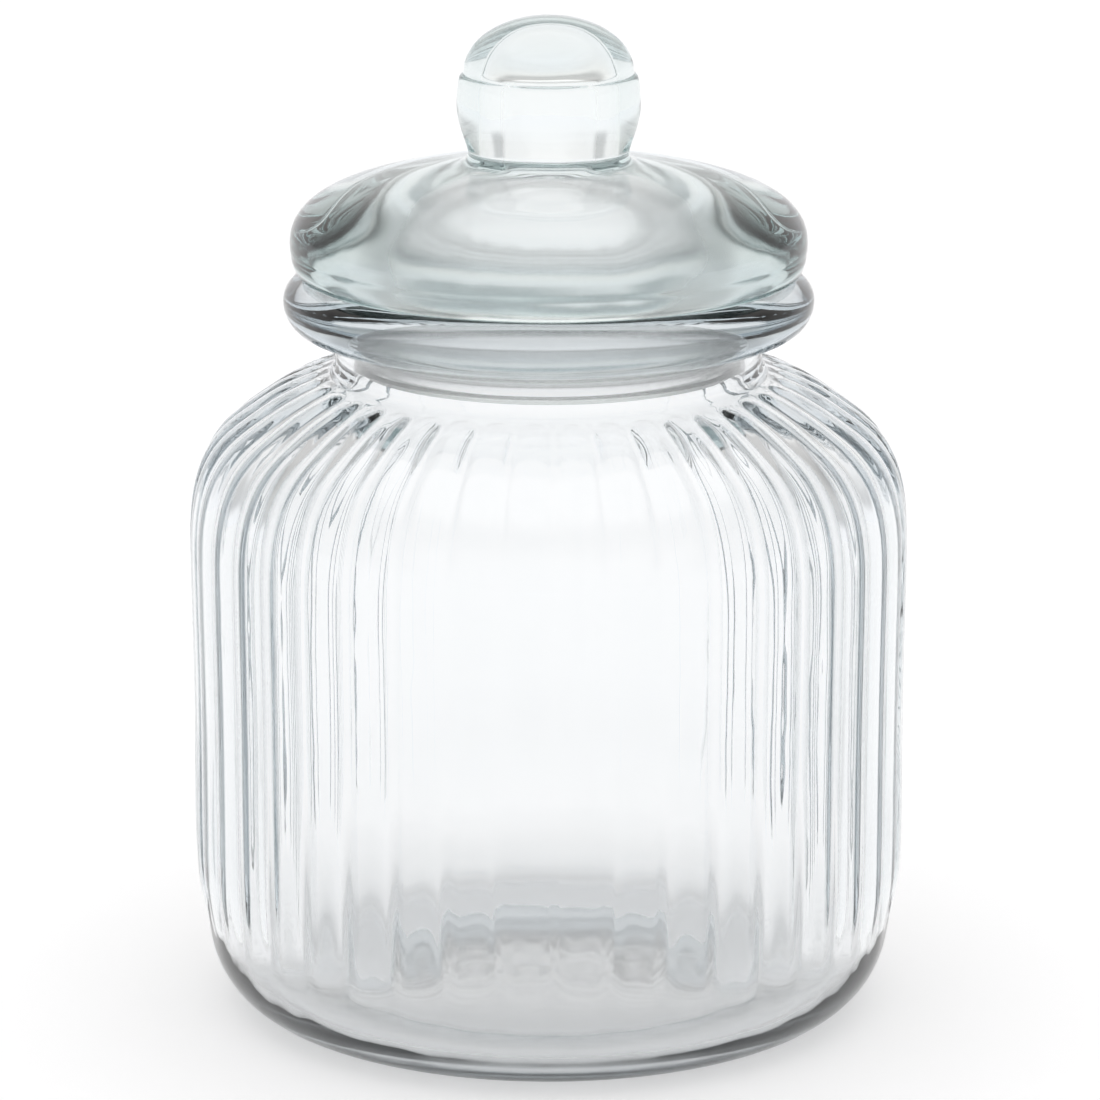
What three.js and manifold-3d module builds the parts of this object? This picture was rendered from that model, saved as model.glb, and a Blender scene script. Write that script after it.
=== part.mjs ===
// Ribbed glass storage jar with a hollow, knobbed glass lid and a finned plastic seal round the lid's plug.
// Millimetres, +Z up. The origin is at the middle of the base, on the surface that the jar stands on.
import * as THREE from "three";
import { mergeVertices } from "three/addons/utils/BufferGeometryUtils.js";
import Module from "manifold-3d";

// Jar: heights
const BASE_PUSH_UP = 5; // the middle of the base stands clear of the table
const HEEL_TOP_Z = 20;
const WAIST_Z = 78; // the barrel is a touch narrower here
const BELT_Z = 116; // the shoulder starts to turn in
const SHOULDER_Z = 145.3; // the shoulder becomes a flatter cone
const NECK_FOOT_Z = 157.9;
const NECK_START_Z = 162.5;
const BEAD_Z = 175.8; // the widest line of the bead round the mouth
const MOUTH_Z = 181.6;

// Jar: radii of the ground surface, which is the bottom of the valleys between the ribs
const CONTACT_INNER_R = 49; // the jar stands on a narrow ring
const CONTACT_OUTER_R = 53;
const BASE_EDGE_R = 71; // outside the ring the base rises a little towards the heel
const BASE_EDGE_Z = 0.8;
const HEEL_R = 84.5;
const LOW_BODY_R = 86.25;
const WAIST_R = 86;
const BELT_R = 86.4;
const SHOULDER_R = 75.4;
const NECK_FOOT_R = 53.6;
const NECK_R = 51.7;
const BEAD_R = 64.25;
const BEAD_CENTRE_R = 57.3;
const BEAD_DROP = 7.4; // from the bead's widest line down to its underside

// Jar: the hollow
const FLOOR_Z = 5.2;
const FLOOR_R = 66;
const FLOOR_RISE = 3.8; // the floor is a little higher in the middle, over the push-up
const INNER_R = 82.4;
const BORE_R = 47.5;
const LIP_ROUND = 1.5;

// Ribs: raised flutes that run from the shoulder to the heel
const RIBS = 42;
const RIB_COLUMNS = 3; // each rib is a valley line and two crest lines
const RIB_HEIGHT = 1.3;
const RIB_PHASE = THREE.MathUtils.degToRad(-90 + 1); // a valley lies one degree right of the front
const RIB_FOOT_Z = [21, 32]; // the ribs rise out of the heel between these heights
const RIB_TIP_R = [56, 60]; // and sink back into the shoulder between these radii

// Lid
const PLUG_R = 43.8;
const PLUG_BORE_R = 39.5;
const PLUG_FOOT_Z = 158.8;
const SEAT_Z = 182; // underside of the rim, just over the bead
const SEAT_R = 59.8;
const RIM_R = 62.5;
const RIM_Z = 190;
const DOME_Z = 208.2; // the dome's height where the knob's foot starts
const DOME_FOOT_R = 24;
const DOME_INNER_R = 17; // the hollow narrows to this under the knob
const DOME_INNER_Z = 200.6;
const PLUG_BORE_TOP_Z = 172; // the plug's straight bore ends here and the hollow closes in
const KNOB_WAIST_R = 19.4;
const KNOB_WAIST_Z = 211.8;
const KNOB_R = 22.15;
const KNOB_Z = 223.2;
const PARTING_Z = 230.4; // mould parting line round the knob
const PARTING_STEP = 0.7;
const CAP_R = 20.5;
const TOP_Z = 244.4;
const KNOB_BORE_R = 11;
const KNOB_BORE_TOP_Z = 231.5;
const KNOB_BORE_ROUND = 3;

// Seal ring
const SEAL_GAP = 0.35; // clearance to the plug inside it and to the bore round it
const SEAL_WALL = 1.2;
const SEAL_FOOT_Z = 159.6;
const SEAL_TOP_Z = 178.4;
const FINS = 4;
const FIN_PITCH = 4.1;
const FIRST_FIN_Z = 162.4;
const FIN_THICKNESS = 0.9;
const FIN_DROOP = 0.8; // a fin's edge hangs this much lower than its root

const LATHE_COLUMNS = 48;

const wasm = await Module();
wasm.setup();

const at = (r, z) => new THREE.Vector2(r, z);

// A cubic curve between two points of an outline, pulled towards the two given handles.
const bend = (from, handle1, handle2, to, steps) =>
  new THREE.CubicBezierCurve(from, handle1, handle2, to).getPoints(steps);

// A quarter or part of an ellipse in an outline, between two angles in degrees.
function arc(centre, radiusR, radiusZ, startDeg, endDeg, steps) {
  const [start, end] = [startDeg, endDeg].map(THREE.MathUtils.degToRad);
  const curve = new THREE.EllipseCurve(centre.x, centre.y, radiusR, radiusZ, start, end, end < start);
  return curve.getPoints(steps);
}

// Turns an outline, given from the bottom up on the outside, about Z.
function turn(outline, columns, phase = 0) {
  const points = outline.flat().filter((p, i, all) => !i || p.distanceTo(all[i - 1]) > 1e-4);
  return new THREE.LatheGeometry(points, columns, phase).rotateX(Math.PI / 2);
}

// A closed geometry as a manifold-3d solid.
function solid(geometry) {
  const bare = geometry.clone();
  bare.deleteAttribute("normal");
  bare.deleteAttribute("uv");
  const merged = mergeVertices(bare);
  const vertProperties = merged.attributes.position.array;
  const triVerts = new Uint32Array(merged.index.array);
  return new wasm.Manifold(new wasm.Mesh({ numProp: 3, vertProperties, triVerts }));
}

// A manifold-3d solid as a three.js geometry.
function geometryOf(body) {
  const { vertProperties, triVerts } = body.getMesh();
  const geometry = new THREE.BufferGeometry();
  geometry.setAttribute("position", new THREE.BufferAttribute(vertProperties, 3));
  geometry.setIndex(new THREE.BufferAttribute(triVerts, 1));
  geometry.computeVertexNormals();
  return geometry;
}

// How much of its full height a rib has at a place on the ground surface.
function ribShare(r, z) {
  const { smoothstep } = THREE.MathUtils;
  if (z < WAIST_Z) return smoothstep(z, ...RIB_FOOT_Z);
  return z < NECK_FOOT_Z ? smoothstep(r, ...RIB_TIP_R) : 0;
}

// Lifts the crest lines of the ribs off the ground surface, square to it.
function raiseRibs(geometry) {
  const place = geometry.attributes.position;
  const normal = geometry.attributes.normal;
  const column = (2 * Math.PI) / (RIBS * RIB_COLUMNS);
  for (let i = 0; i < place.count; i++) {
    const [x, y, z] = [place.getX(i), place.getY(i), place.getZ(i)];
    const columnsRound = Math.round((Math.atan2(y, x) - RIB_PHASE) / column);
    const valley = ((columnsRound % RIB_COLUMNS) + RIB_COLUMNS) % RIB_COLUMNS === 0;
    const height = valley ? 0 : RIB_HEIGHT * ribShare(Math.hypot(x, y), z);
    place.setXYZ(i, x + height * normal.getX(i), y + height * normal.getY(i), z + height * normal.getZ(i));
  }
  return geometry;
}

function jarGeometry() {
  const heelTop = at(HEEL_R, HEEL_TOP_Z);
  const belt = at(BELT_R, BELT_Z);
  const shoulder = at(SHOULDER_R, SHOULDER_Z);
  const neckFoot = at(NECK_FOOT_R, NECK_FOOT_Z);
  const neckStart = at(NECK_R, NECK_START_Z);
  const bead = at(BEAD_CENTRE_R, BEAD_Z);
  const beadReach = BEAD_R - BEAD_CENTRE_R;
  const outside = [
    bend(at(0, BASE_PUSH_UP), at(20, BASE_PUSH_UP), at(36, 2.2), at(CONTACT_INNER_R, 0), 3),
    [at(CONTACT_OUTER_R, 0)],
    bend(at(BASE_EDGE_R, BASE_EDGE_Z), at(76, 1.8), at(83.9, 8), heelTop, 3),
    [at(85.2, RIB_FOOT_Z[0] + 5), at(85.7, RIB_FOOT_Z[1]), at(LOW_BODY_R, 46), at(WAIST_R, WAIST_Z)],
    bend(belt, at(86.8, 129.5), at(83.6, 139.2), shoulder, 3),
    bend(shoulder, at(69, 150), at(60.5, 156), neckFoot, 4),
    bend(neckFoot, at(51.9, 158.5), at(NECK_R, 160), neckStart, 2),
    arc(bead, beadReach, BEAD_DROP, -145, 0, 4),
    arc(bead, beadReach, MOUTH_Z - BEAD_Z, 0, 90, 3),
    [at(0, MOUTH_Z)],
  ];
  const lipZ = MOUTH_Z - LIP_ROUND;
  const inside = [
    [at(0, FLOOR_Z + FLOOR_RISE), at(FLOOR_R * 0.45, FLOOR_Z + FLOOR_RISE * 0.65)],
    bend(at(FLOOR_R, FLOOR_Z), at(77, 6), at(81.5, 12.5), at(INNER_R - 0.4, 25), 4),
    [at(INNER_R - 0.2, WAIST_Z)],
    bend(at(INNER_R, BELT_Z), at(82.6, 127.5), at(80.4, 135.6), at(72.8, 142), 3),
    bend(at(72.8, 142), at(66, 147.4), at(57, 152.6), at(51, 154.4), 2),
    bend(at(51, 154.4), at(48.5, 155.4), at(BORE_R, 157), at(BORE_R, 160), 2),
    arc(at(BORE_R + LIP_ROUND, lipZ), LIP_ROUND, LIP_ROUND, 180, 90, 2),
    [at(BORE_R + LIP_ROUND, MOUTH_Z + 1), at(0, MOUTH_Z + 1)],
  ];
  const ribbed = raiseRibs(turn(outside, RIBS * RIB_COLUMNS, RIB_PHASE + Math.PI / 2));
  return geometryOf(solid(ribbed).subtract(solid(turn(inside, LATHE_COLUMNS))));
}

function lidGeometry() {
  const capHeight = TOP_Z - PARTING_Z;
  const domeFoot = at(DOME_FOOT_R, DOME_Z);
  const outline = [
    arc(at(0, KNOB_BORE_TOP_Z - KNOB_BORE_ROUND), KNOB_BORE_R, KNOB_BORE_ROUND, 90, 0, 2),
    bend(at(KNOB_BORE_R, 210), at(KNOB_BORE_R, 205), at(13, 202.6), at(DOME_INNER_R, DOME_INNER_Z), 2),
    bend(at(DOME_INNER_R, DOME_INNER_Z), at(27, 195.6), at(PLUG_BORE_R, 190), at(PLUG_BORE_R, PLUG_BORE_TOP_Z), 5),
    [at(PLUG_BORE_R, PLUG_FOOT_Z + 1), at(PLUG_BORE_R + 1, PLUG_FOOT_Z)],
    [at(PLUG_R - 1, PLUG_FOOT_Z), at(PLUG_R, PLUG_FOOT_Z + 1), at(PLUG_R, SEAT_Z - 1.5)],
    [at(PLUG_R + 1.5, SEAT_Z), at(SEAT_R, SEAT_Z)],
    bend(at(SEAT_R, SEAT_Z), at(61.4, 183.6), at(RIM_R, 186.4), at(RIM_R, RIM_Z), 3),
    bend(at(RIM_R, RIM_Z), at(RIM_R, 198.2), at(54, 203.6), at(35, 206.8), 6),
    bend(domeFoot, at(21, 208.6), at(KNOB_WAIST_R, 209.6), at(KNOB_WAIST_R, KNOB_WAIST_Z), 3),
    bend(at(KNOB_WAIST_R, KNOB_WAIST_Z), at(20.2, 215), at(KNOB_R, 218.6), at(KNOB_R, KNOB_Z), 3),
    bend(at(KNOB_R, KNOB_Z), at(KNOB_R, 226), at(22, 228.2), at(CAP_R + PARTING_STEP, PARTING_Z), 2),
    arc(at(0, PARTING_Z + PARTING_STEP), CAP_R, capHeight - PARTING_STEP, 0, 90, 6),
  ];
  return turn(outline, LATHE_COLUMNS);
}

function sealGeometry() {
  const innerR = PLUG_R + SEAL_GAP;
  const wallR = innerR + SEAL_WALL;
  const finR = BORE_R - SEAL_GAP;
  const fins = Array.from({ length: FINS }, (_, i) => {
    const z = FIRST_FIN_Z + i * FIN_PITCH;
    return [
      at(wallR, z - FIN_THICKNESS),
      at(finR, z - FIN_THICKNESS / 2 - FIN_DROOP),
      at(finR, z - FIN_DROOP),
      at(wallR, z + FIN_THICKNESS / 2),
    ];
  });
  const ends = [at(wallR, SEAL_TOP_Z), at(innerR, SEAL_TOP_Z), at(innerR, SEAL_FOOT_Z)];
  return turn([at(innerR, SEAL_FOOT_Z), at(wallR, SEAL_FOOT_Z), ...fins.flat(), ...ends], LATHE_COLUMNS);
}

const glass = { color: 0xdfe8e6, roughness: 0.03, metalness: 0, transparent: true, opacity: 0.35 };
const softPlastic = { color: 0xe9edec, roughness: 0.25, metalness: 0, transparent: true, opacity: 0.6 };

function piece(name, geometry, finish) {
  const mesh = new THREE.Mesh(geometry, new THREE.MeshStandardMaterial(finish));
  mesh.name = name;
  return mesh;
}

const jar = new THREE.Group();
jar.add(piece("glass_jar", jarGeometry(), glass));

const cover = new THREE.Group();
cover.add(piece("glass_lid", lidGeometry(), glass));
cover.add(piece("seal_ring", sealGeometry(), softPlastic));
jar.add(cover);

export default jar;
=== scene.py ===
# Ribbed glass storage jar, its clear finned seal and its hollow knobbed glass lid, on a white studio sweep.
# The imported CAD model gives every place; lengths here are millimetres in the jar's own frame.
import math

import bmesh
import bpy
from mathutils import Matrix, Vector, noise
from mathutils.geometry import interpolate_bezier


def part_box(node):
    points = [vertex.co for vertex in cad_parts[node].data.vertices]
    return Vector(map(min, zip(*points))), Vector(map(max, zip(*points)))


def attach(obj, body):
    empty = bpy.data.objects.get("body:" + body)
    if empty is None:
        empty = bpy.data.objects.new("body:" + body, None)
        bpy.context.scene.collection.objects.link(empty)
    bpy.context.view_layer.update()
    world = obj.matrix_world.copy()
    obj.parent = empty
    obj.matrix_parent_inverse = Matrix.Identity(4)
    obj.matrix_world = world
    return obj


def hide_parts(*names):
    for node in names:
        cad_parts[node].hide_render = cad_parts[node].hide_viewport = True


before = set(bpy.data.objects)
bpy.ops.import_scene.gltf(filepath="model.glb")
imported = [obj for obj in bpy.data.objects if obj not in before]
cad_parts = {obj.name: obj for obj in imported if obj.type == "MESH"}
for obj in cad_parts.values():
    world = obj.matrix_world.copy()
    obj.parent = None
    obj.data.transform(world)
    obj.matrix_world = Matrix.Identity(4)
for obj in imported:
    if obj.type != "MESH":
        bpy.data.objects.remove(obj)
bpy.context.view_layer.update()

# ---------------------------------------------------------------------------------------------------------
# Jar. One piece of soda-lime glass, pressed and then blown in a two-part iron mould: a ribbed barrel with a
# round shoulder, a plain neck, a thick bead round the mouth and a heavy base pushed up in its middle.
# The mould gives the outside its sharp ribs; the blown inside follows them only softly and is uneven.

MM = 0.001
jar_low, jar_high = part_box("glass_jar")
MOUTH_Z = jar_high.z / MM
RIBS = 42
RIB_HEIGHT = 1.3
RIB_TURN = 1                 # degrees that the ribs are turned from the front
RIB_FOOT = (17, 36)          # heights between which the ribs rise at the heel
RIB_TIP = (55.2, 57)         # radii between which the rib tips end beside the neck
RIB_SWELL = (56, 67)         # radii between which they swell to their full height
TIP_SHARE = 0.4
INNER_RIB_SHARE = 0.55       # how much of each rib the inner wall follows
JAR_COLUMNS_PER_RIB = 10
MARGIN = 0.03
BARREL_R = jar_high.x / MM - RIB_HEIGHT - MARGIN
HEEL = (84.5, 20)
BARREL_FOOT = (85.9, 35)
BARREL_WAIST = (86, 78)
BELT = (BARREL_R, 116)
SHOULDER = (75.4, 145.3)
NECK_FOOT = (53.6, 157.9)
NECK = (51.7, 162.5)
BEAD_CENTRE = (57.3, 175.8)
BEAD_REACH = 6.95
BEAD_DROP = 7.4
CONTACT_INNER = (48.5, 0.15)
CONTACT_OUTER = (53.5, 0.1)
BASE_EDGE = (71, 0.9)
PUSH_UP = 5
FLOOR_Z = 5.2
FLOOR_RISE = 3.8
FLOOR_R = 66
INNER_R = 82.4
INNER_HEEL = (82, 25)
INNER_SHOULDER = (72.8, 142)
INNER_NECK = (51, 154.4)
BORE_R = 47.5
BORE_FOOT = (BORE_R, 160)
LIP = 1.5
INSIDE_WAVE = 0.3            # millimetres that the blown wall wanders in and out
PEEL = 0.04                  # and the dimples of the underside


def bend(start, pull_start, pull_end, end, steps):
    """A curved stretch of an outline between two points, drawn towards two more."""
    corners = [Vector((r, 0, z)) for r, z in (start, pull_start, pull_end, end)]
    return [(p.x, p.z) for p in interpolate_bezier(*corners, steps + 1)]


def arc(centre, reach_r, reach_z, start, end, steps):
    """Part of an ellipse in an outline, between two angles in degrees; 0 points away from the axis."""
    turns = [math.radians(start + (end - start) * i / steps) for i in range(steps + 1)]
    return [(centre[0] + reach_r * math.cos(a), centre[1] + reach_z * math.sin(a)) for a in turns]


def line(start, end, steps):
    """A straight stretch of an outline, with points along it."""
    return [tuple(a + (b - a) * i / steps for a, b in zip(start, end)) for i in range(steps + 1)]


def turned(stretches, sectors, columns, closed=False):
    """Spins an outline round Z: one sector of so many columns, then copies of it right round."""
    points = [p for stretch in stretches for p in stretch]
    kept = [p for i, p in enumerate(points) if not i or math.dist(p, points[i - 1]) > 1e-3]
    bm = bmesh.new()
    verts = [bm.verts.new((r * MM, 0, z * MM)) for r, z in kept]
    pairs = list(zip(verts, verts[1:])) + ([(verts[-1], verts[0])] if closed else [])
    geom = verts + [bm.edges.new(pair) for pair in pairs]
    for turn, steps, copies in ((2 * math.pi / sectors, columns, False), (2 * math.pi, sectors, True)):
        bmesh.ops.spin(
            bm, geom=geom, cent=(0, 0, 0), axis=(0, 0, 1), dvec=(0, 0, 0),
            angle=turn, steps=steps, use_merge=False, use_duplicate=copies,
        )
        geom = bm.verts[:] + bm.edges[:] + bm.faces[:]
    bmesh.ops.remove_doubles(bm, verts=bm.verts, dist=1e-6)
    bmesh.ops.recalc_face_normals(bm, faces=bm.faces)
    bm.normal_update()
    return bm


def piece(name, bm, body, node):
    """A finished piece that rides on a body and stands for a CAD node."""
    mesh = bpy.data.meshes.new(name)
    bm.to_mesh(mesh)
    bm.free()
    mesh.shade_smooth()
    made = bpy.data.objects.new(name, mesh)
    bpy.context.scene.collection.objects.link(made)
    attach(made, body)
    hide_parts(node)
    return made


def ease(value, low, high):
    """0 below low, 1 above high, and smooth between them."""
    t = min(max((value - low) / (high - low), 0), 1)
    return t * t * (3 - 2 * t)


def rib_rise(x, y, z):
    """How far the ribs lift the ground surface at a place, in millimetres."""
    r = math.hypot(x, y)
    turn = (math.degrees(math.atan2(y, x)) + 90 - RIB_TURN) * RIBS / 360
    across = abs(2 * (turn % 1) - 1)
    round_end = across ** 2
    if z > NECK_FOOT[1]:
        share = 0
    elif z > BARREL_WAIST[1]:
        tip = ease(r, RIB_TIP[0] + 3.5 * round_end, RIB_TIP[1] + 3.5 * round_end)
        swell = ease(r, RIB_SWELL[0] + 3 * round_end, RIB_SWELL[1] + 3 * round_end)
        share = TIP_SHARE * tip + (1 - TIP_SHARE) * swell
    else:
        share = ease(z, RIB_FOOT[0] + 4 * round_end, RIB_FOOT[1] + 4 * round_end)
    return RIB_HEIGHT * (1 - across ** 4) * share


outside = [
    bend((0, PUSH_UP), (20, PUSH_UP), (36, 2.2), CONTACT_INNER, 24),
    bend(CONTACT_INNER, (CONTACT_INNER[0] + 1, 0), (CONTACT_OUTER[0] - 1, 0), CONTACT_OUTER, 6),
    bend(CONTACT_OUTER, (59, 0.35), (65, 0.6), BASE_EDGE, 6),
    bend(BASE_EDGE, (76, 1.8), (83.9, 8), HEEL, 12),
    bend(HEEL, (84.9, 23.5), (85.6, 29), BARREL_FOOT, 12),
    bend(BARREL_FOOT, (86.5, 46), (85.9, 66), BARREL_WAIST, 10),
    bend(BARREL_WAIST, (86, 92), (BARREL_R, 104), BELT, 8),
    bend(BELT, (BARREL_R, 130), (83.8, 139.2), SHOULDER, 14),
    bend(SHOULDER, (69, 150), (60.5, 156), NECK_FOOT, 34),
    bend(NECK_FOOT, (51.9, 158.5), (NECK[0], 160), NECK, 6),
    line(NECK, (NECK[0], 167.5), 3),
    arc(BEAD_CENTRE, BEAD_REACH, BEAD_DROP, -140, 0, 14),
    arc(BEAD_CENTRE, BEAD_REACH, MOUTH_Z - BEAD_CENTRE[1], 0, 90, 10),
    line((BEAD_CENTRE[0], MOUTH_Z), (BORE_R + LIP, MOUTH_Z), 3),
]
inside = [
    arc((BORE_R + LIP, MOUTH_Z - LIP), LIP, LIP, 90, 180, 5),
    line((BORE_R, MOUTH_Z - LIP), BORE_FOOT, 5),
    bend(BORE_FOOT, (BORE_R, 157), (48.5, 155.4), INNER_NECK, 5),
    bend(INNER_NECK, (57, 152.6), (66, 147.4), INNER_SHOULDER, 8),
    bend(INNER_SHOULDER, (80.4, 135.6), (82.6, 127.5), (INNER_R, BELT[1]), 8),
    line((INNER_R, BELT[1]), INNER_HEEL, 10),
    bend(INNER_HEEL, (81.5, 12.5), (77, 6), (FLOOR_R, FLOOR_Z), 12),
    bend((FLOOR_R, FLOOR_Z), (46, FLOOR_Z - 0.2), (26, FLOOR_Z + FLOOR_RISE), (0, FLOOR_Z + FLOOR_RISE), 14),
]
skin = turned(outside + inside, RIBS, JAR_COLUMNS_PER_RIB)
for v in skin.verts:
    x, y, z = v.co / MM
    outward = v.normal.x * x + v.normal.y * y > 0.2 * math.hypot(x, y)
    if outward:
        v.co += v.normal * MM * rib_rise(x, y, z)
    elif z < PUSH_UP + 1 and v.normal.z < 0:
        peel = noise.noise(Vector((x / 7, y / 7, 3))) + 0.5 * noise.noise(Vector((x / 3, y / 3, 8)))
        v.co.z += MM * PEEL * (peel + 1) * ease(CONTACT_INNER[0] - math.hypot(x, y), 0, 6)
    elif 12 < z < BORE_FOOT[1]:
        wave = INSIDE_WAVE * noise.noise(Vector((x / 22, y / 22, z / 60)))
        wave *= ease(z, 12, 30) * ease(BORE_FOOT[1] - z, 0, 20)
        v.co += v.normal * MM * (wave - INNER_RIB_SHARE * rib_rise(x, y, z))
jar = piece("glass_jar_body", skin, "jar", "glass_jar")


def linear(hex_colour):
    """An sRGB hex colour as the linear colour that a socket takes."""
    parts = [int(hex_colour[i:i + 2], 16) / 255 for i in (0, 2, 4)]
    return [c / 12.92 if c <= 0.04045 else ((c + 0.055) / 1.055) ** 2.4 for c in parts] + [1]


def add(tree, kind, settings, **sockets):
    """Adds a node: settings are its own properties, sockets take a value or another node's output."""
    node = tree.nodes.new(kind)
    for key, value in settings.items():
        setattr(node, key, value)
    for key, value in sockets.items():
        socket = node.inputs[int(key[1:])] if key[1:].isdigit() else node.inputs[key.replace("_", " ")]
        if isinstance(value, bpy.types.NodeSocket):
            tree.links.new(value, socket)
        else:
            socket.default_value = value
    return node


def blank(name):
    """A new material whose node tree is empty."""
    material = bpy.data.materials.new(name)
    material.use_nodes = True
    material.node_tree.nodes.clear()
    return material, material.node_tree


# Clear soda-lime glass as it comes from a pressing mould: fire-polished and smooth, with a slow waviness
# that bends what is seen through it. Where the tools touch it last it is left a little satin, which softens
# what shows through there. A trace of iron tints it grey-green where light crosses a lot of it.
def pressed_glass(name, satin_r, satin_z, satin, colour, depth):
    """Glass with a satin skin inside a radius and below a height in millimetres, and its tint."""
    material, tree = blank(name)
    where = add(tree, "ShaderNodeTexCoord", {}).outputs["Object"]
    flat = add(tree, "ShaderNodeVectorMath", {"operation": "MULTIPLY"}, _0=where, _1=(1, 1, 0))
    radius = add(tree, "ShaderNodeVectorMath", {"operation": "LENGTH"}, _0=flat.outputs["Vector"])
    height = add(tree, "ShaderNodeSeparateXYZ", {}, Vector=where)
    under = {"operation": "LESS_THAN"}
    near = add(tree, "ShaderNodeMath", under, _0=radius.outputs["Value"], _1=satin_r * MM)
    low = add(tree, "ShaderNodeMath", under, _0=height.outputs["Z"], _1=satin_z * MM)
    times = {"operation": "MULTIPLY"}
    both = add(tree, "ShaderNodeMath", times, _0=near.outputs["Value"], _1=low.outputs["Value"])
    skin = add(tree, "ShaderNodeMath", times, _0=both.outputs["Value"], _1=satin)
    waves = add(tree, "ShaderNodeTexNoise", {}, Vector=where, Scale=60, Detail=1.0)
    bump = add(tree, "ShaderNodeBump", {}, Strength=0.25, Distance=0.0006, Height=waves.outputs["Fac"])
    body = add(
        tree, "ShaderNodeBsdfPrincipled", {}, Base_Color=linear("FFFFFF"), Roughness=skin.outputs["Value"],
        IOR=1.52, Transmission_Weight=1.0, Normal=bump.outputs["Normal"],
    )
    tint = add(tree, "ShaderNodeVolumeAbsorption", {}, Color=linear(colour), Density=depth)
    add(tree, "ShaderNodeOutputMaterial", {}, Surface=body.outputs["BSDF"], Volume=tint.outputs["Volume"])
    return material


# The satin part of the jar is its base, which stood hot on the cooling belt: the underside and the floor.
jar_glass = pressed_glass(
    "soda_lime_glass_jar", satin_r=76, satin_z=9, satin=0.14, colour="F5F7F8", depth=140.0,
)
jar.data.materials.append(jar_glass)

# ---------------------------------------------------------------------------------------------------------
# Seal. A ring of clear soft plastic with thin fins, pulled on over the lid's plug; its fins wipe the bore.

PLUG_R = 43.8
SEAL_GAP = 0.35
SEAL_WALL = 1.2
SEAL_INNER_R = PLUG_R + SEAL_GAP
SEAL_WALL_R = SEAL_INNER_R + SEAL_WALL
seal_low, seal_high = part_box("seal_ring")
FIN_R = seal_high.x / MM
SEAL_Z = (seal_low.z / MM, seal_high.z / MM)
FINS = 4
FIN_PITCH = 4.1
FIRST_FIN_Z = 162.4
fins = []
for i in range(FINS):
    z = FIRST_FIN_Z + i * FIN_PITCH
    fins.append(bend((SEAL_WALL_R, z - 0.9), (45.9, z - 1), (46.6, z - 1.2), (FIN_R - 0.2, z - 1.25), 4))
    fins.append([(FIN_R, z - 1.05), (FIN_R, z - 0.95)])
    fins.append(bend((FIN_R - 0.2, z - 0.8), (46.6, z - 0.7), (45.9, z - 0.1), (SEAL_WALL_R, z + 0.45), 4))
ring = [
    [(SEAL_INNER_R, SEAL_Z[0] + 0.3), (SEAL_INNER_R + 0.3, SEAL_Z[0]), (SEAL_WALL_R - 0.3, SEAL_Z[0])],
    [(SEAL_WALL_R, SEAL_Z[0] + 0.3)],
    *fins,
    [(SEAL_WALL_R, SEAL_Z[1] - 0.3), (SEAL_WALL_R - 0.3, SEAL_Z[1]), (SEAL_INNER_R + 0.3, SEAL_Z[1])],
    [(SEAL_INNER_R, SEAL_Z[1] - 0.3)],
]
seal = piece("finned_seal", turned(ring, 16, 10, closed=True), "seal", "seal_ring")

# Clear soft PVC, injection moulded: satin rather than glossy, so it blurs what is behind it. Its index is
# set below the usual 1.53 for PVC, which keeps the lines of the fins faint through the neck.
soft_pvc, tree = blank("soft_pvc_clear")
where = add(tree, "ShaderNodeTexCoord", {}).outputs["Object"]
grain = add(tree, "ShaderNodeTexNoise", {}, Vector=where, Scale=400, Detail=2.0)
bump = add(tree, "ShaderNodeBump", {}, Strength=0.15, Distance=0.0002, Height=grain.outputs["Fac"])
body = add(
    tree, "ShaderNodeBsdfPrincipled", {}, Base_Color=linear("FFFFFF"), Roughness=0.22, IOR=1.41,
    Transmission_Weight=1.0, Normal=bump.outputs["Normal"],
)
add(tree, "ShaderNodeOutputMaterial", {}, Surface=body.outputs["BSDF"])
seal.data.materials.append(soft_pvc)

# ---------------------------------------------------------------------------------------------------------
# Lid. One hollow piece of pressed soda-lime glass: a plug that drops into the neck, a thick domed rim that
# rests on the bead, and a hollow ball knob with the mould's parting line round its upper third.

lid_low, lid_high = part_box("glass_lid")
TOP_Z = lid_high.z / MM
RIM_R = lid_high.x / MM
PLUG_FOOT_Z = lid_low.z / MM
SEAT_Z = 182
PLUG_BORE_R = 39.5
PARTING_Z = 230.4
CAP_R = 20.5
KNOB_BORE_R = 11
KNOB_BORE_TOP_Z = 231.5
KNOB_BORE_MOUTH = (17, 200.6)
KNOB_R = 22.15
KNOB_BELLY = (KNOB_R, 223.2)
KNOB_WAIST = (19.4, 211.8)
DOME_R = 24
SEAT_R = 59.4
PLUG_CORNER = 1.5
HOLLOW_WAVE = 0.6            # millimetres that the hollow's wall wanders
HOLLOW_WRINKLE = 0.1         # and its finer wrinkles

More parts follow.
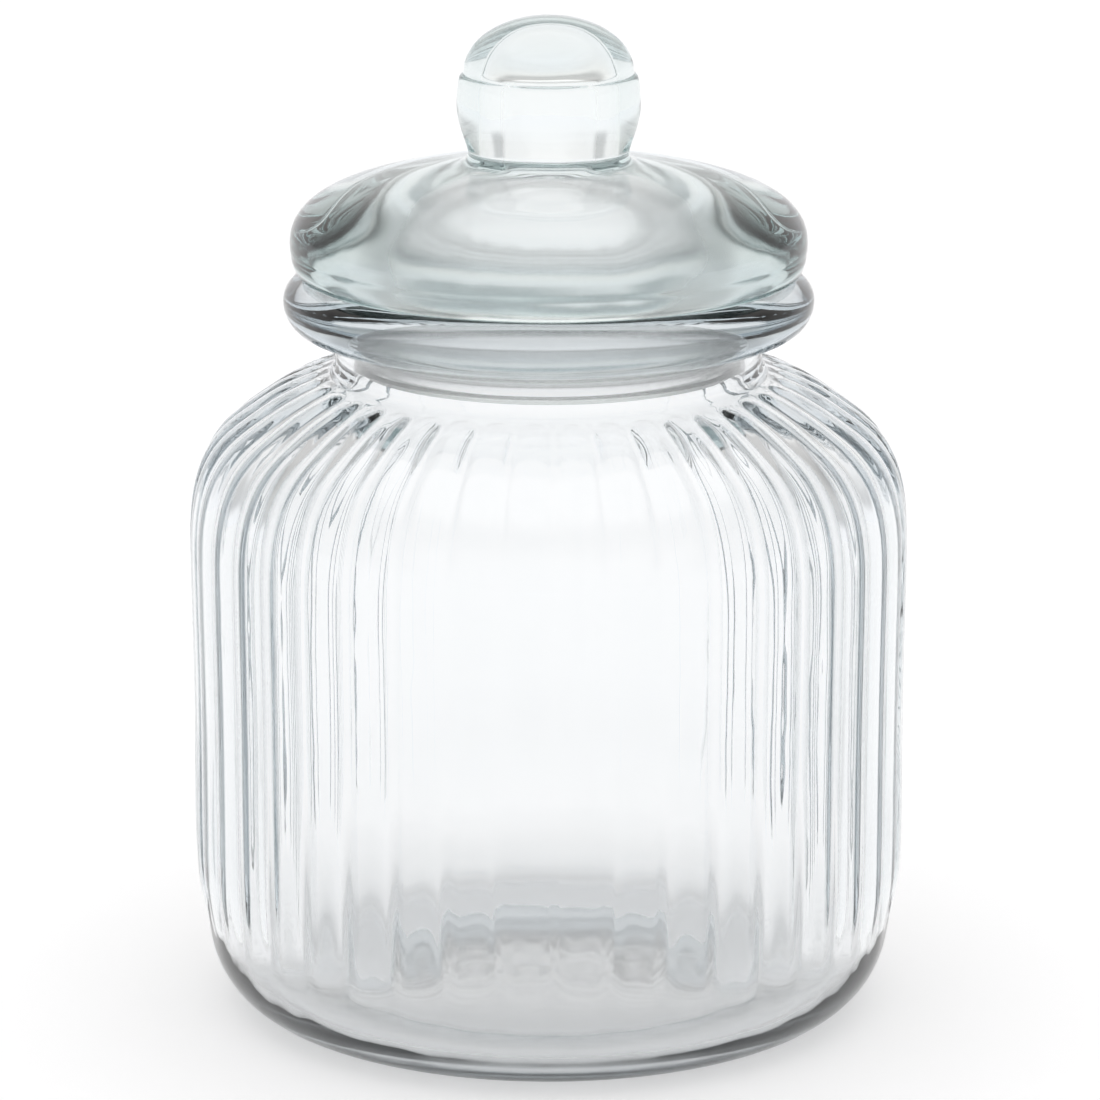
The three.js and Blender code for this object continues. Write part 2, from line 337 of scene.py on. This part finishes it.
hollow = [
    bend(
        (0, KNOB_BORE_TOP_Z), (8, KNOB_BORE_TOP_Z), (KNOB_BORE_R, KNOB_BORE_TOP_Z - 0.6),
        (KNOB_BORE_R, KNOB_BORE_TOP_Z - 4), 12,
    ),
    line((KNOB_BORE_R, KNOB_BORE_TOP_Z - 4), (KNOB_BORE_R, 210), 6),
    bend((KNOB_BORE_R, 210), (KNOB_BORE_R, 205), (13, 202.6), KNOB_BORE_MOUTH, 8),
    bend(KNOB_BORE_MOUTH, (27, 195.6), (PLUG_BORE_R, 190), (PLUG_BORE_R, 172), 26),
    line((PLUG_BORE_R, 172), (PLUG_BORE_R, PLUG_FOOT_Z + 1.5), 5),
]
plug = [
    bend(
        (PLUG_BORE_R, PLUG_FOOT_Z + 1.5), (PLUG_BORE_R, PLUG_FOOT_Z + 0.5), (40.2, PLUG_FOOT_Z),
        (41.2, PLUG_FOOT_Z), 5,
    ),
    bend(
        (42.2, PLUG_FOOT_Z), (43.2, PLUG_FOOT_Z), (PLUG_R, PLUG_FOOT_Z + 0.6),
        (PLUG_R, PLUG_FOOT_Z + 1.6), 5,
    ),
    line((PLUG_R, PLUG_FOOT_Z + 1.6), (PLUG_R, SEAT_Z - PLUG_CORNER), 8),
    arc((PLUG_R + PLUG_CORNER, SEAT_Z - PLUG_CORNER), PLUG_CORNER, PLUG_CORNER, 180, 90, 5),
]
rim = [
    line((PLUG_R + PLUG_CORNER, SEAT_Z), (SEAT_R, SEAT_Z), 4),
    bend((SEAT_R, SEAT_Z), (61.4, 182.4), (RIM_R - 0.2, 185.4), (RIM_R - 0.15, 188), 8),
    bend((RIM_R - 0.15, 188), (RIM_R + 0.05, 188.6), (RIM_R, 189.4), (RIM_R, 190), 4),
    bend((RIM_R, 190), (RIM_R, 198.2), (54, 203.6), (35, 206.8), 24),
    line((35, 206.8), (DOME_R, 208.2), 3),
]
knob = [
    bend((DOME_R, 208.2), (21, 208.6), (KNOB_WAIST[0], 209.6), KNOB_WAIST, 8),
    bend(KNOB_WAIST, (20.2, 215), (KNOB_R, 218.6), KNOB_BELLY, 10),
    bend(KNOB_BELLY, (KNOB_R, 226), (21.9, 228.6), (21.4, PARTING_Z - 0.5), 6),
    bend(
        (21.4, PARTING_Z - 0.5), (21.2, PARTING_Z), (20.7, PARTING_Z + 0.1), (CAP_R, PARTING_Z + 0.6), 4,
    ),
    arc((0, PARTING_Z + 0.6), CAP_R, TOP_Z - PARTING_Z - 0.6, 0, 90, 18),
]
skin = turned(hollow + plug + rim + knob, 16, 15)
for v in skin.verts:
    x, y, z = v.co / MM
    r = math.hypot(x, y)
    in_plug = r < PLUG_BORE_R + 1 and z < KNOB_BORE_MOUTH[1] + 2.4
    in_knob = r < KNOB_BORE_R + 1 and z < KNOB_BORE_TOP_Z + 0.5
    if z > PLUG_FOOT_Z + 3 and (in_plug or in_knob):
        wave = HOLLOW_WAVE * noise.noise(Vector((x / 16, y / 16, z / 20)))
        wrinkle = HOLLOW_WRINKLE * noise.noise(Vector((x / 6, y / 6, z / 4)))
        v.co += v.normal * MM * (wave + wrinkle) * ease(z, PLUG_FOOT_Z + 3, SEAT_Z - 2)
lid = piece("glass_lid_body", skin, "lid", "glass_lid")

# The same kind of glass as the jar's, with a tint of its own that takes less light per millimetre, because
# the lid is far thicker. The plunger that pressed the hollow leaves its wall satin, up to the knob.
lid_glass = pressed_glass(
    "soda_lime_glass_lid", satin_r=PLUG_BORE_R + 1, satin_z=KNOB_BORE_MOUTH[1] + 2.9, satin=0.2,
    colour="F2F6F6", depth=52.0,
)
lid.data.materials.append(lid_glass)

# ---------------------------------------------------------------------------------------------------------
# Studio. A white sweep under and behind the jar, which gives a little light itself, and soft white light all
# round. The light is weaker at both sides and in a band high up, which draws dark edges in the glass.

bm = bmesh.new()
bmesh.ops.create_grid(bm, x_segments=1, y_segments=1, size=6)
mesh = bpy.data.meshes.new("sweep")
bm.to_mesh(mesh)
bm.free()
sweep = bpy.data.objects.new("sweep", mesh)
sweep.location.z = -0.0002
bpy.context.scene.collection.objects.link(sweep)
paper, tree = blank("sweep_paper")
body = add(
    tree, "ShaderNodeBsdfPrincipled", {}, Base_Color=linear("DEDFE1"), Roughness=0.9,
    Emission_Color=linear("FFFFFF"), Emission_Strength=0.4,
)
add(tree, "ShaderNodeOutputMaterial", {}, Surface=body.outputs["BSDF"])
mesh.materials.append(paper)

world = bpy.data.worlds.new("studio")
world.use_nodes = True
tree = world.node_tree
tree.nodes.clear()
way = add(tree, "ShaderNodeTexCoord", {}).outputs["Generated"]
parts = add(tree, "ShaderNodeSeparateXYZ", {}, Vector=way)
aside = add(tree, "ShaderNodeMath", {"operation": "ABSOLUTE"}, _0=parts.outputs["X"])
flag = add(
    tree, "ShaderNodeMapRange", {"interpolation_type": "SMOOTHSTEP"},
    Value=aside.outputs["Value"], From_Min=0.55, From_Max=0.8, To_Min=0.0, To_Max=1.0,
)
foot = add(
    tree, "ShaderNodeMapRange", {"interpolation_type": "SMOOTHSTEP"},
    Value=parts.outputs["Z"], From_Min=0.05, From_Max=0.15, To_Min=0.0, To_Max=0.38,
)
dim = add(
    tree, "ShaderNodeMath", {"operation": "MULTIPLY"}, _0=flag.outputs["Result"], _1=foot.outputs["Result"],
)
up = add(tree, "ShaderNodeValToRGB", {}, Fac=parts.outputs["Z"])
stops = up.color_ramp.elements
stops[0].position = 0.0
stops[0].color = (1.0, 1.0, 1.02, 1)
stops[1].position = 1.0
stops[1].color = (1.2, 1.19, 1.18, 1)
for place, level in ((0.36, 1.0), (0.52, 0.62), (0.74, 0.64), (0.84, 1.2)):
    stop = stops.new(place)
    stop.color = (level, level * 0.975, level * 0.955, 1)
shaded = add(
    tree, "ShaderNodeMixRGB", {}, Fac=dim.outputs["Value"], Color1=up.outputs["Color"],
    Color2=linear("4C5456"),
)
light = add(tree, "ShaderNodeBackground", {}, Color=shaded.outputs["Color"], Strength=1.06)
add(tree, "ShaderNodeOutputWorld", {}, Surface=light.outputs["Background"])
scene = bpy.context.scene
scene.world = world
scene.view_settings.view_transform = "Standard"
scene.cycles.max_bounces = 24
scene.cycles.transmission_bounces = 24
scene.cycles.glossy_bounces = 8

# Camera: a long lens, a little above the lid, looking down at the middle of the jar.
camera_data = bpy.data.cameras.new("camera")
camera_data.sensor_width = 36
camera_data.lens = 170.6
camera = bpy.data.objects.new("camera", camera_data)
camera.location = (0.0003, -1.236, 0.433)
camera.rotation_euler = (math.radians(90 - 14.53), 0, 0)
scene.collection.objects.link(camera)
scene.camera = camera
